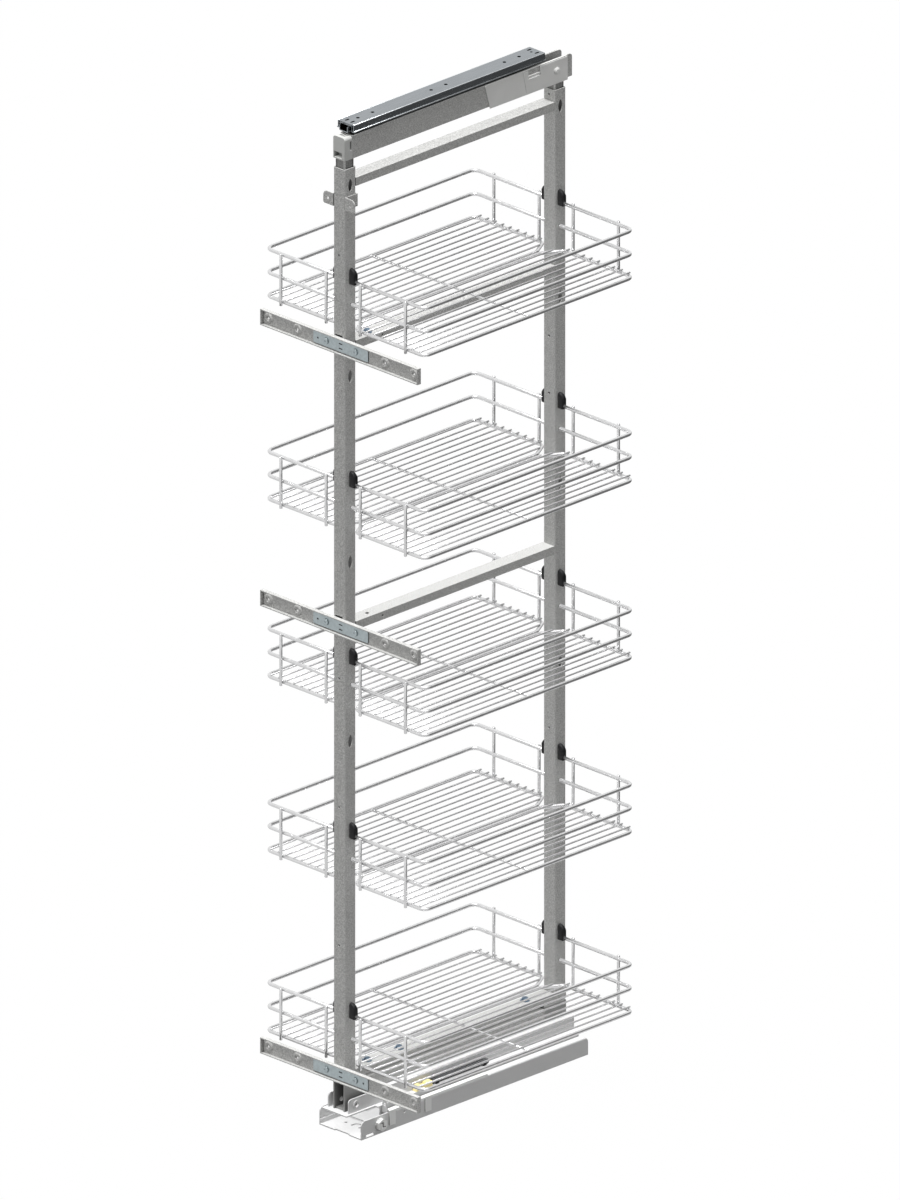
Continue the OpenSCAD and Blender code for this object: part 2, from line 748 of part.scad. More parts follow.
// Half width of each runner member, from the outer member's inside outwards
runner_race = 2.7;
lip = 1.5;
inner_reach = 5;
outer_in = runner_w / 2 - runner_wall;
middle_out = outer_in - runner_race;
middle_in = middle_out - runner_wall;
inner_out = middle_in - runner_race;
runner_top = runner_z + runner_h;
outer_ball_z = runner_z + 0.55 * runner_h;
inner_ball_z = runner_z + 0.38 * runner_h;
runner_hole_steps = [0, 32, 160, 192, 320, 352];
cage_l = 120;
cage_pitch = 14;

// Groove for a row of balls along a race at x and height z
module race_cut(x, z, d, y0, y1) {
    rod_y(x, y0 - 1, y1 + 1, z, d + 0.2);
}

// Short slot through the runner's top, with its middle at x and y
module end_slot(x, y) {
    translate([x, y, runner_top - 2 * runner_wall])
        linear_extrude(3 * runner_wall) polygon(round_rect(3.6, 9, 1.7));
}

module top_runner_outer() {
    y1 = runner_y + runner_l;
    z0 = runner_z + 1;
    color(zinc) difference() {
        along_y(runner_y, y1) difference() {
            union() {
                translate([0, (z0 + runner_top) / 2]) polygon(round_rect(runner_w, runner_top - z0, 2.2));
                translate([-runner_w / 2 - lip, z0]) square([runner_w + 2 * lip, 2]);
            }
            translate([0, (z0 + runner_top) / 2])
                polygon(round_rect(2 * outer_in, runner_top - z0 - 2 * runner_wall, 1));
            translate([-middle_out - 0.4, z0 - 1]) square([2 * middle_out + 0.8, 1 + 2 * runner_wall]);
        }
        both_sides() race_cut(outer_in - runner_race / 2, outer_ball_z, runner_ball, runner_y, y1);
        for (s = runner_hole_steps) translate([0, runner_y + runner_hole_first + s, runner_top - 2 * runner_wall])
            cylinder(h = 3 * runner_wall, d = runner_hole_dia);
        // Stop cut-outs at both ends
        for (x = [-6, 6]) end_slot(x, runner_y + 9);
        for (x = [-8.5, 8.5]) end_slot(x, y1 - 9);
        translate([0, y1 - 13, runner_top - 2 * runner_wall]) cylinder(h = 3 * runner_wall, d = 4);
    }
}

module top_runner_middle() {
    y1 = runner_y + runner_l;
    z0 = runner_z + 1.6;
    z1 = runner_top - runner_wall - 0.8;
    color(zinc) difference() {
        along_y(runner_y, y1) difference() {
            translate([0, (z0 + z1) / 2]) polygon(round_rect(2 * middle_out, z1 - z0, 1.6));
            translate([-middle_in, z0 - 1]) square([2 * middle_in, z1 - z0 + 1 - runner_wall]);
        }
        both_sides() {
            race_cut(outer_in - runner_race / 2, outer_ball_z, runner_ball, runner_y, y1);
            race_cut(middle_in - runner_race / 2, inner_ball_z, runner_ball, runner_y, y1);
        }
    }
}

module top_runner_inner() {
    y1 = runner_y + runner_l;
    z1 = runner_top - 2 * runner_wall - 1.6;
    color(zinc) difference() {
        along_y(runner_y - inner_reach, y1) difference() {
            translate([0, (runner_z + z1) / 2]) polygon(round_rect(2 * inner_out, z1 - runner_z, 1.4));
            translate([-inner_out + runner_wall, runner_z + runner_wall])
                square([2 * (inner_out - runner_wall), runner_h]);
        }
        both_sides()
            race_cut(middle_in - runner_race / 2, inner_ball_z, runner_ball, runner_y - inner_reach, y1);
    }
}

// Strips with a row of holes, on both sides, that keep the balls apart
module ball_cages(x, z, y, l, t, h, d, pitch) {
    n = floor((l - d) / pitch);
    color([0.75, 0.76, 0.74]) both_sides() difference() {
        box([x - t / 2, y - l / 2, z - h / 2], [x + t / 2, y + l / 2, z + h / 2]);
        for (i = [0 : n]) rod_x(x - t, x + t, y + (i - n / 2) * pitch, z, d + 0.1);
    }
}

// The balls in those holes
module ball_rows(x, z, y, l, d, pitch) {
    n = floor((l - d) / pitch);
    color([0.7, 0.72, 0.74]) both_sides()
        for (i = [0 : n]) translate([x, y + (i - n / 2) * pitch, z]) sphere(d = d);
}

cage_y = runner_y + runner_l / 2;
module top_outer_ball_cages() {
    ball_cages(outer_in - runner_race / 2, outer_ball_z, cage_y, cage_l, 1, 5, runner_ball, cage_pitch);
}
module top_outer_balls() {
    ball_rows(outer_in - runner_race / 2, outer_ball_z, cage_y, cage_l, runner_ball, cage_pitch);
}
module top_inner_ball_cages() {
    ball_cages(middle_in - runner_race / 2, inner_ball_z, cage_y, cage_l, 1, 5, runner_ball, cage_pitch);
}
module top_inner_balls() {
    ball_rows(middle_in - runner_race / 2, inner_ball_z, cage_y, cage_l, runner_ball, cage_pitch);
}

// ---------------------------------------------------------------- base

light_grey = [0.72, 0.72, 0.71];
white_plastic = [0.93, 0.93, 0.92];
base_y0 = -base_l / 2;
base_y1 = base_l / 2;
housing_in = base_w / 2 - base_wall;
rail_out = housing_in - race_gap;
rail_in = rail_out - base_wall;
shoulder_x = rail_in - race_gap;
outer_row_z = 11;
inner_row_z = 19;
rail_y0 = front_y + rail_front;
rail_y1 = front_y + rail_rear;
rail_frame = 30;
flange_y = base_y0 + flange_front;
base_cage_l = 200;
base_cage_pitch = 24;
knob_y = front_y + knob_back;
knob_z = 16;
spindle_dia = 8;

module base_housing() {
    x1 = base_w / 2;
    flange_in = x1 - flange_w;
    color(light_grey) difference() {
        union() {
            // Floor and walls, with the walls' upper corners rounded at both ends
            difference() {
                along_x(-x1, x1) polygon(concat(
                    [[base_y0, 0], [base_y1, 0]], arc([base_y1 - 9, base_h - 9], 9, 0, 90),
                    arc([base_y0 + 8, base_h - 8], 8, 90, 180)));
                box([-housing_in, base_y0 - 1, base_wall], [housing_in, base_y1 + 1, base_h + 1]);
            }
            // Inward flanges
            both_sides()
                box([flange_in, flange_y, base_h - base_wall], [housing_in + tiny, base_y1 - 9, base_h]);
            // Upright lug with a hole at the front end of the right flange
            along_y(flange_y, flange_y + base_wall) polygon(concat(
                [[flange_in + 0.5, base_h - base_wall], [x1 - base_wall / 2, base_h - base_wall]],
                arc([x1 - base_wall / 2 - 4, 44], 4, 0, 90), arc([flange_in + 4.5, 44], 4, 90, 180)));
        }
        // Round upper edges along the flanged part
        both_sides() along_y(flange_y + 6, base_y1 + 1) difference() {
            translate([x1 - 3, base_h - 3]) square(4);
            translate([x1 - 3, base_h - 3]) circle(r = 3);
        }
        both_sides() race_cut(housing_in - race_gap / 2, outer_row_z, base_ball, base_y0, base_y1);
        rod_y(flange_in + 5, flange_y - 1, flange_y + base_wall + 1, 42, 5);
        rod_x(x1 - base_wall - 1, x1 + 1, knob_y, knob_z, spindle_dia + 2 * running_gap);
        rod_x(x1 - base_wall - 1, x1 + 1, front_y + 84.8, 21, 4);
        // Slot at the foot of the right wall and the cut-outs in the front of the floor
        box([housing_in - 1, front_y + 1, base_wall], [x1 + 1, front_y + 18, 6]);
        box([-12, base_y0 - 1, -1], [19, base_y0 + 2.5, base_wall + 1]);
        translate([3, front_y + 24, -1]) rotate([0, 0, -30])
            rotate_extrude(angle = 240) translate([7, 0]) square([3, base_wall + 2]);
        for (x = [-floor_hole_x / 2, floor_hole_x / 2], y = [0, floor_hole_y])
            translate([x, base_y0 + floor_hole_first + y, -1]) cylinder(h = base_wall + 2, d = floor_hole_dia);
    }
}

// Strip clipped over the housing's right wall
module side_strip() {
    x1 = base_w / 2 + 0.1;
    y0 = flange_y + base_wall + 1;
    y1 = y0 + strip_l;
    color(white_plastic) {
        along_x(x1 - 7, x1 + 2) polygon(concat(
            [[y0, base_h + 0.1], [y1, base_h + 0.1]], arc([y1 - 1.5, base_h + 1.6], 1.4, 0, 90),
            [[y0, base_h + 3]]));
        for (y = [y0, y0 + 78]) box([x1, y, 8], [x1 + 2, y + 13, base_h + 1]);
    }
}

// Hexagon on the housing's right wall with a stepped slot, and its spindle through the wall
module adjuster_knob() {
    x1 = base_w / 2 + 0.2;
    slot_x = x1 + knob_l - 3;
    color(white_plastic) difference() {
        union() {
            rod_x(x1, x1 + 1.5, knob_y, knob_z, knob_dia);
            translate([x1 + 1.5 - tiny, knob_y, knob_z]) rotate([0, 90, 0])
                cylinder(h = knob_l - 1.5, d = knob_dia, $fn = 6);
            rod_x(x1 - base_wall - 1.2, x1 + tiny, knob_y, knob_z, spindle_dia);
        }
        box([slot_x, knob_y - 1.2, knob_z - 5], [slot_x + 4, knob_y + 1.2, knob_z + 5]);
        box([slot_x, knob_y - 6, knob_z + 2.6], [slot_x + 4, knob_y + 1, knob_z + 5]);
        box([slot_x, knob_y - 1, knob_z - 5], [slot_x + 4, knob_y + 6, knob_z - 2.6]);
    }
}

// Middle member between the housing and the carriage
module base_middle_rail() {
    h = 22;
    z0 = base_wall + 2;
    color(light_grey) difference() {
        box([-rail_out, rail_y0, z0], [rail_out, rail_y1, z0 + h]);
        box([-rail_in, rail_y0 - 1, z0 + base_wall], [rail_in, rail_y1 + 1, z0 + h + 1]);
        box([-rail_in + rail_frame / 3, rail_y0 + rail_frame, z0 - 1],
            [rail_in - rail_frame / 3, rail_y1 - rail_frame, z0 + base_wall + 1]);
        both_sides() {
            race_cut(rail_out + race_gap / 2, outer_row_z, base_ball, rail_y0, rail_y1);
            race_cut(rail_in - race_gap / 2, inner_row_z, base_ball, rail_y0, rail_y1);
        }
    }
}

base_cage_y = front_y + 235;
base_inner_cage_y = front_y + 255;
module base_outer_ball_cages() {
    ball_cages(rail_out + race_gap / 2, outer_row_z, base_cage_y,
               base_cage_l, 1.5, 9, base_ball, base_cage_pitch);
}
module base_outer_balls() {
    ball_rows(rail_out + race_gap / 2, outer_row_z, base_cage_y, base_cage_l, base_ball, base_cage_pitch);
}
module base_inner_ball_cages() {
    ball_cages(rail_in - race_gap / 2, inner_row_z, base_inner_cage_y,
               base_cage_l, 1.5, 9, base_ball, base_cage_pitch);
}
module base_inner_balls() {
    ball_rows(rail_in - race_gap / 2, inner_row_z, base_inner_cage_y, base_cage_l, base_ball, base_cage_pitch);
}

ear_hole_y = front_y + 3;
ear_hole_z = 50;
bush_bore = 8;
bush_dia = 11;
bush_flange = 15;

// Folded carriage: a shoulder plate, walls down into the rail and walls up beside the feet
module base_carriage() {
    x_up = carriage_w / 2;
    y0 = front_y - ear_front;
    y1 = front_y + carriage_rear;
    color(light_grey) difference() {
        union() {
            box([-x_up - 4, y0 - 9, shoulder_z - base_wall], [x_up + 4, rail_y0 + 1, shoulder_z]);
            box([-shoulder_x, rail_y0, shoulder_z - base_wall], [shoulder_x, y1, shoulder_z]);
            both_sides() {
                along_x(x_up - base_wall, x_up) polygon(concat(
                    [[y0, shoulder_z - base_wall], [y1, shoulder_z - base_wall], [y1, carriage_top_z]],
                    arc([y0 + 6, carriage_top_z - 6], 6, 90, 180)));
                box([post_face + 2, front_y + foot_l, carriage_top_z - base_wall],
                    [x_up - base_wall + tiny, y1, carriage_top_z]);
                box([shoulder_x - base_wall, rail_y0 + 4, 8], [shoulder_x, y1, shoulder_z - base_wall + tiny]);
            }
        }
        both_sides() {
            rod_x(x_up - base_wall - 1, x_up + 1, ear_hole_y, ear_hole_z, bush_dia + 0.1);
            race_cut(shoulder_x + race_gap / 2, inner_row_z, base_ball, rail_y0, y1);
        }
    }
}

// Flanged bushes in the carriage's ears
module carriage_bushes() {
    x_up = carriage_w / 2;
    color(light_grey) both_sides() difference() {
        union() {
            rod_x(x_up - base_wall - 1, x_up + tiny, ear_hole_y, ear_hole_z, bush_dia);
            rod_x(x_up, x_up + 1.5, ear_hole_y, ear_hole_z, bush_flange);
        }
        rod_x(x_up - base_wall - 2, x_up + 3, ear_hole_y, ear_hole_z, bush_bore);
    }
}

foot_wall = 2.5;

// Folded foot that carries the bottom beam on the carriage; it is open away from the beam
module foot(y, s) {
    set_back = -post_face + 3;
    color([0.42, 0.42, 0.42]) translate([0, y, 0]) mirror([0, s < 0 ? 1 : 0, 0]) difference() {
        intersection() {
            along_x(-post_face, post_face) polygon(concat(
                [[-post_face, shoulder_z], [foot_l - post_face, shoulder_z], [foot_l - post_face, beam_z]],
                arc([-post_face + 5, beam_z - 5], 5, 90, 180)));
            along_y(-post_w, foot_l) polygon(concat(
                [[-post_face, shoulder_z], [post_face, shoulder_z]],
                arc([post_face - 4, beam_z - 4], 4, 0, 90), arc([-post_face + 4, beam_z - 4], 4, 90, 180)));
        }
        box([-post_face + foot_wall, -post_w, shoulder_z + foot_wall],
            [post_face - foot_wall, foot_l - post_face - foot_wall, beam_z - foot_wall]);
        box([-post_face + foot_wall, -post_w, shoulder_z - 1], [post_face - foot_wall, set_back, beam_z + 1]);
        rod_x(-post_w, post_w, ear_hole_y - front_y, ear_hole_z, bush_bore);
    }
}

module front_foot() { foot(front_y, 1); }
module rear_foot() { foot(rear_y, -1); }

// Beam between the two feet
module spacer_beam() {
    y0 = front_y - post_face + foot_l;
    y1 = rear_y + post_face - foot_l;
    color(frame_grey) difference() {
        box([-post_face, y0, carriage_top_z + 1], [post_face, y1, spacer_top_z]);
        box([-post_face + crossbar_wall, y0 - 1, carriage_top_z + 1 + crossbar_wall],
            [post_face - crossbar_wall, y1 + 1, spacer_top_z - crossbar_wall]);
    }
}

// ---------------------------------------------------------------- damper

damper_x = (carriage_w / 2 + shoulder_x) / 2 + 0.2;
damper_z = shoulder_z + 0.4 + damper_dia / 2;
damper_y0 = front_y + damper_front;
rod_stroke = 45;
rib_pitch = 5.5;

// Ribbed body with a bore for the rod
module damper_body() {
    ribs = floor(damper_l / rib_pitch);
    color([0.12, 0.12, 0.13]) difference() {
        union() {
            rod_y(damper_x, damper_y0, damper_y0 + damper_l, damper_z, damper_dia - 1.4);
            for (i = [0 : ribs - 1]) translate([0, i * rib_pitch, 0])
                rod_y(damper_x, damper_y0 + 1, damper_y0 + 4, damper_z, damper_dia);
        }
        rod_y(damper_x, damper_y0 - 1, damper_y0 + rod_stroke + 25, damper_z, rod_dia + 2 * running_gap);
    }
}

// Two saddles that hold the damper on the shoulder
module damper_saddles() {
    color([0.12, 0.12, 0.13]) for (y = [damper_y0 + 6, damper_y0 + damper_l - 12]) difference() {
        box([carriage_w / 2 + 0.1, y, shoulder_z], [shoulder_x - 0.1, y + 6, damper_z]);
        rod_y(damper_x, y - 1, y + 7, damper_z, damper_dia);
    }
}

module damper_rod() {
    color(zinc) rod_y(damper_x, damper_y0 - 4, damper_y0 + rod_stroke + 15, damper_z, rod_dia);
}

// Yellow catch on the end of the rod, guided on the shoulder
module damper_catch() {
    y1 = damper_y0 - 3;
    x0 = carriage_w / 2 + 0.4;
    x1 = shoulder_x - 0.3;
    color([0.93, 0.8, 0.35]) difference() {
        along_x(x0, x1) polygon([
            [y1 - catch_l, shoulder_z + 0.2], [y1, shoulder_z + 0.2], [y1, damper_z + 4],
            [y1 - 12, damper_z + 4], [y1 - 14, damper_z + 1], [y1 - 22, damper_z + 1],
            [y1 - 24, damper_z + 4], [y1 - catch_l + 4, damper_z + 4]]);
        rod_y(damper_x, y1 - 1, y1 + 1, damper_z, rod_dia);
    }
}

base_housing();
side_strip();
adjuster_knob();
base_middle_rail();
base_outer_ball_cages();
base_outer_balls();
base_inner_ball_cages();
base_inner_balls();
base_carriage();
carriage_bushes();
front_foot();
rear_foot();
spacer_beam();
bottom_beam();
damper_body();
damper_saddles();
damper_rod();
damper_catch();
post_front();
post_rear();
crossbar_1();
crossbar_2();
crossbar_3();
crossbar_screws();
lug_bracket();
door_bracket_1();
door_bracket_2();
door_bracket_3();
adapter_plate_1();
adapter_plate_2();
adapter_plate_3();
bracket_rivets();
extension_tube_front();
extension_tube_rear();
top_bar();
top_bar_cap();
rear_cover();
cover_button();
runner_saddles();
top_runner_inner();
top_runner_middle();
top_runner_outer();
top_outer_ball_cages();
top_outer_balls();
top_inner_ball_cages();
top_inner_balls();
basket_1();
basket_2();
basket_3();
basket_4();
basket_5();
basket_1_clips();
basket_2_clips();
basket_3_clips();
basket_4_clips();
basket_5_clips();
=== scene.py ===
"""Looks of the pull-out larder unit: materials, wire baskets, clips, fittings, light and camera."""

import json
import math

import bmesh
import bpy
from mathutils import Matrix, Vector


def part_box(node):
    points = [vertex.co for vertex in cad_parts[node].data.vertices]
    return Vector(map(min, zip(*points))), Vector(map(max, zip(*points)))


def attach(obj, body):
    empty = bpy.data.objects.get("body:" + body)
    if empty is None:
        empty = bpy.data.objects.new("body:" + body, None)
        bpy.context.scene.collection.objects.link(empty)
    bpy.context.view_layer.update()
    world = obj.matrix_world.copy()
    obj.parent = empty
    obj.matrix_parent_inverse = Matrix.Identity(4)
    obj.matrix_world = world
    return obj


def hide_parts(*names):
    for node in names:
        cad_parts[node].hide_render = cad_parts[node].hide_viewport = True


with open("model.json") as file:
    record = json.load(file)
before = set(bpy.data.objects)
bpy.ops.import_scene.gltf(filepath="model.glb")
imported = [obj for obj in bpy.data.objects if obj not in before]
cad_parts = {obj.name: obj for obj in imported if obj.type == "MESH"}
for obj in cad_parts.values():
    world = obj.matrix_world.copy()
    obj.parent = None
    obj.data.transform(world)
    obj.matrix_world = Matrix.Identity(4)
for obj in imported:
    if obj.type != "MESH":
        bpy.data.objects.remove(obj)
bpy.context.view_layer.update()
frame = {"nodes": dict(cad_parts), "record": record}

MM = 0.001
BASKETS = range(1, 6)
BRACKETS = range(1, 4)


# ---------------------------------------------------------------- shader nodes

def new_material(name):
    """A new material, its node tree and its principled shader."""
    material = bpy.data.materials.new(name)
    material.use_nodes = True
    tree = material.node_tree
    return material, tree, tree.nodes["Principled BSDF"]


def noise(tree, scale, detail=4.0, stretch=(1, 1, 1)):
    """The value of a noise texture in object space, with features about 1 / scale metres wide."""
    coords = tree.nodes.new("ShaderNodeTexCoord")
    mapping = tree.nodes.new("ShaderNodeMapping")
    mapping.inputs["Scale"].default_value = stretch
    texture = tree.nodes.new("ShaderNodeTexNoise")
    texture.inputs["Scale"].default_value = scale
    texture.inputs["Detail"].default_value = detail
    tree.links.new(coords.outputs["Object"], mapping.inputs["Vector"])
    tree.links.new(mapping.outputs["Vector"], texture.inputs["Vector"])
    return texture.outputs["Fac"]


def arithmetic(tree, operation, first, second=None):
    """The result of a math node on the output first, with a number or an output as second."""
    node = tree.nodes.new("ShaderNodeMath")
    node.operation = operation
    tree.links.new(first, node.inputs[0])
    if isinstance(second, float):
        node.inputs[1].default_value = second
    elif second is not None:
        tree.links.new(second, node.inputs[1])
    return node.outputs[0]


def mixed(tree, factor, first, second):
    """The number first where factor is 0, and the output second where it is 1."""
    mix = tree.nodes.new("ShaderNodeMix")
    mix.inputs["A"].default_value = first
    tree.links.new(factor, mix.inputs["Factor"])
    tree.links.new(second, mix.inputs["B"])
    return mix.outputs["Result"]


def multiplied(tree, colour, factor):
    """One colour times another."""
    mix = tree.nodes.new("ShaderNodeMix")
    mix.data_type = "RGBA"
    mix.blend_type = "MULTIPLY"
    mix.inputs["Factor"].default_value = 1.0
    tree.links.new(colour, mix.inputs["A"])
    tree.links.new(factor, mix.inputs["B"])
    return mix.outputs["Result"]


def ramp(tree, value, stops):
    """A colour ramp over value with (position, colour) stops; a single number stands for a grey."""
    node = tree.nodes.new("ShaderNodeValToRGB")
    elements = node.color_ramp.elements
    while len(elements) < len(stops):
        elements.new(0.5)
    for element, (place, colour) in zip(elements, stops):
        if not isinstance(colour, (tuple, list)):
            colour = (colour,) * 3
        element.position = place
        element.color = (*colour, 1)
    tree.links.new(value, node.inputs["Fac"])
    return node.outputs["Color"]


def bump(tree, shader, value, strength, distance):
    """Fine relief on the shader from value."""
    node = tree.nodes.new("ShaderNodeBump")
    node.inputs["Strength"].default_value = strength
    node.inputs["Distance"].default_value = distance
    tree.links.new(value, node.inputs["Height"])
    tree.links.new(node.outputs["Normal"], shader.inputs["Normal"])


def shaded(colour, factor):
    """A colour made darker or lighter by a factor, up to full white."""
    return tuple(min(1.0, c * factor) for c in colour)


def drifting(tree, value, colour, spread):
    """A colour that goes from darker to lighter over the middle of value's range."""
    return ramp(tree, value, [(0.3, shaded(colour, 1 - spread)), (0.7, shaded(colour, 1 + spread))])


def roughen(tree, shader, value, smoothest, roughest, margin=0.3):
    """Roughness from smoothest to roughest over value's range, less a margin at each end."""
    roughness = ramp(tree, value, [(margin, smoothest), (1 - margin, roughest)])
    tree.links.new(roughness, shader.inputs["Roughness"])


# Reach of the painted shade in hollows and along seams
HOLLOW_REACH, SEAM_REACH = 60 * MM, 3.5 * MM


def openness(tree, reach, stops):
    """A ramp over how open a surface is to its surroundings within reach."""
    shade = tree.nodes.new("ShaderNodeAmbientOcclusion")
    shade.inputs["Distance"].default_value = reach
    return ramp(tree, shade.outputs["AO"], stops)


def painted_crevice_shade(tree, colour, darkest=0.05, line=0.35, shut=0.02, clear=0.5):
    """Paints shade into a colour inside tubes, holes and slots, and a fine line of painted shade
    along seams.

    A place is darkest where it is open by the share shut, and keeps its colour from clear on.
    """
    half_dark = (shut + 0.4 * (clear - shut), 0.35 + 0.65 * darkest)
    hollows = openness(tree, HOLLOW_REACH, [(shut, darkest), half_dark, (clear, 1.0)])
    seams = openness(tree, SEAM_REACH, [(0.3, line), (0.72, 1.0)])
    return multiplied(tree, multiplied(tree, colour, hollows), seams)


def paint_pocket_shade(tree, colour, middle_y, rim, shade=0.5):
    """Paints shade into the pockets of an upright square tube between its corner ribs, which begin
    at rim from its axis.
    """
    coords = tree.nodes.new("ShaderNodeTexCoord")
    axes = tree.nodes.new("ShaderNodeSeparateXYZ")
    tree.links.new(coords.outputs["Object"], axes.inputs["Vector"])
    beyond = []
    for axis, middle in (("X", 0.0), ("Y", middle_y)):
        away = arithmetic(tree, "SUBTRACT", axes.outputs[axis], middle)
        beyond.append(arithmetic(tree, "GREATER_THAN", arithmetic(tree, "ABSOLUTE", away), rim))
    corner = arithmetic(tree, "MINIMUM", *beyond)
    return multiplied(tree, colour, ramp(tree, corner, [(0.0, shade), (1.0, 1.0)]))


# ---------------------------------------------------------------- materials

def coat(name, colour, speckle=0.34, grain=740.0, rough=0.5, relief=0.25,
         darkest=0.05, line=0.35, pocket_shade=None):
    """Powder coat: a fine speckle of lighter and darker grains, with a faint orange peel, and
    painted shade in hollows, along seams and, where asked, in a tube's pockets.
    """
    material, tree, shader = new_material(name)
    grains = noise(tree, grain, 2.0)
    grained = ramp(tree, grains, [(0.36, shaded(colour, 1 - speckle)), (0.5, colour),
                                  (0.64, shaded(colour, 1 + speckle))])
    # Painted shade in the pockets of an extension tube
    if pocket_shade:
        grained = paint_pocket_shade(tree, grained, *pocket_shade)
    # Painted shade in hollows and along seams
    tree.links.new(painted_crevice_shade(tree, grained, darkest, line), shader.inputs["Base Color"])
    roughen(tree, shader, noise(tree, 9.0, 5.0), rough - 0.06, rough + 0.06)
    bump(tree, shader, grains, relief, 0.1 * MM)
    return material


def plated(name, colour, rough=0.3, spread=0.12, grain=260.0, stretch=(1, 1, 1),
           metallic=1.0, crevice_shade=()):
    """Plated metal: faint clouds of colour and gloss, drawn out along the rolling direction.

    Its last argument holds the settings of the painted shade in hollows and along seams, in their
    order, and None leaves that painted shade out.
    """
    material, tree, shader = new_material(name)
    shader.inputs["Metallic"].default_value = metallic
    lines = noise(tree, grain, 6.0, stretch)
    clouded = drifting(tree, lines, colour, spread)
    # Painted shade in hollows and along seams
    if crevice_shade is not None:
        clouded = painted_crevice_shade(tree, clouded, *crevice_shade)
    tree.links.new(clouded, shader.inputs["Base Color"])
    roughen(tree, shader, lines, rough - 0.05, rough + 0.07)
    bump(tree, shader, lines, 0.12, 0.05 * MM)
    return material


def plastic(name, colour, rough=0.45, spread=0.06, grain=1400.0, shine=0.5):
    """Moulded plastic: a fine spark-eroded grain and a slow drift of tone, with painted shade in
    hollows and along seams.
    """
    material, tree, shader = new_material(name)
    shader.inputs["Specular IOR Level"].default_value = shine
    drifted = drifting(tree, noise(tree, 14.0, 3.0), colour, spread)
    # Painted shade in hollows and along seams
    tree.links.new(painted_crevice_shade(tree, drifted), shader.inputs["Base Color"])
    grains = noise(tree, grain, 2.0)
    roughen(tree, shader, grains, rough - 0.06, rough + 0.06, margin=0.35)
    bump(tree, shader, grains, 0.3, 0.06 * MM)
    return material


GREY = (0.48, 0.48, 0.47)
# Streaks along Y, the way the sheet was rolled
ROLLED = dict(grain=30.0, stretch=(8, 1, 8))
POWDER = coat("powder_grey", GREY)
# PALE and RUNNER set how deep their painted shade in hollows and along seams goes
PALE = coat("pale_grey", (0.64, 0.64, 0.64), speckle=0.02, relief=0.1, darkest=0.72, line=0.8)
# The feet take a darker copy of the posts' grey, which paints the shade the door brackets throw on
# them
SHADED_FOOT_GREY = coat("foot_grey", (0.30, 0.30, 0.295), speckle=0.1)
ZINC = plated("zinc", (0.37, 0.42, 0.435), rough=0.34, metallic=0.85, **ROLLED)
RUNNER = plated("runner_zinc", (0.30, 0.322, 0.34), rough=0.26, spread=0.05,
                crevice_shade=(0.03, 0.35, 0.45, 0.72), **ROLLED)
BLUE_ZINC = plated("blue_zinc", (0.24, 0.34, 0.46), rough=0.3, spread=0.1)
# A much lighter zinc for the runner's rolled edges, which paints their highlight
RUNNER_EDGE_HIGHLIGHT = plated("runner_edge_highlight", (0.74, 0.77, 0.79), rough=0.3, spread=0.03, grain=60.0,
                     crevice_shade=None)
CHROME = plated("chrome", (0.66, 0.66, 0.665), rough=0.2, spread=0.05, grain=120.0,
                metallic=0.85, crevice_shade=None)
BALLS = plated("ball_steel", (0.6, 0.61, 0.62), rough=0.15, spread=0.04)
BLACK = plastic("black_plastic", (0.006, 0.006, 0.007), rough=0.55, spread=0.2, shine=0.2)
DAMPER = plastic("damper_black", (0.075, 0.075, 0.078), rough=0.4, spread=0.1)
CAP = plastic("cap_grey", (0.80, 0.80, 0.785))
FRONT_CAP = plastic("front_cap_grey", (0.56, 0.565, 0.55))
WHITE = plastic("white_plastic", (0.80, 0.80, 0.79))
YELLOW = plastic("yellow_plastic", (0.88, 0.74, 0.34))

SLOT_MATERIALS = {
    "powder_grey": POWDER, "pale_grey": PALE, "foot_grey": SHADED_FOOT_GREY, "zinc": ZINC, "chrome": CHROME,
    "ball_steel": BALLS, "black_plastic": BLACK, "cap_grey": CAP, "white_plastic": WHITE,
    "yellow_plastic": YELLOW,
}
# Nodes whose finish is a shade of their slot's own
NODE_MATERIALS = {
    "top_bar_cap": FRONT_CAP, "top_runner_outer": RUNNER, "top_runner_middle": RUNNER,
    "top_runner_inner": RUNNER, "damper_body": DAMPER, "crossbar_screws": BLUE_ZINC,
}
# Folded and moulded nodes, whose edges are eased
EASED = {
    "base_housing", "base_middle_rail", "base_carriage", "front_foot", "rear_foot",
    "spacer_beam", "bottom_beam", "lug_bracket", "side_strip", "adjuster_knob",
    "extension_tube_front", "extension_tube_rear", "top_bar", "top_bar_cap", "rear_cover",
    "top_runner_outer", "top_runner_middle", "top_runner_inner",
    *(f"{kind}_{n}" for kind in ("crossbar", "door_bracket", "adapter_plate") for n in (1, 2, 3)),
}
EDGE_EASE = 0.3 * MM
EASED_ANGLE = math.radians(50)
# Distance from the axis of an extension tube at which its corner ribs begin; its pockets nearer the
# axis get painted shade
POCKET_RIM = 8.1 * MM


def dress_cad_nodes():
    """Every CAD node takes the material of its slot, and sheet and moulded ones get eased edges."""
    for part in frame["record"]["subparts"]:
        name = part["node"]
        node = frame["nodes"][name]
        material = NODE_MATERIALS.get(name, SLOT_MATERIALS[part["material_slot"]])
        # Extension tubes get painted shade in the pockets between their corner ribs
        if name.startswith("extension_tube"):
            lo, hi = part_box(name)
            material = coat(name + "_grey", GREY, pocket_shade=((lo.y + hi.y) / 2, POCKET_RIM))
        if name.startswith("post"):
            node.visible_glossy = False
        node.data.materials.clear()
        node.data.materials.append(material)
        if name in EASED:
            bevel = node.modifiers.new("eased_edges", "BEVEL")
            bevel.width = EDGE_EASE
            bevel.segments = 2
            bevel.angle_limit = EASED_ANGLE


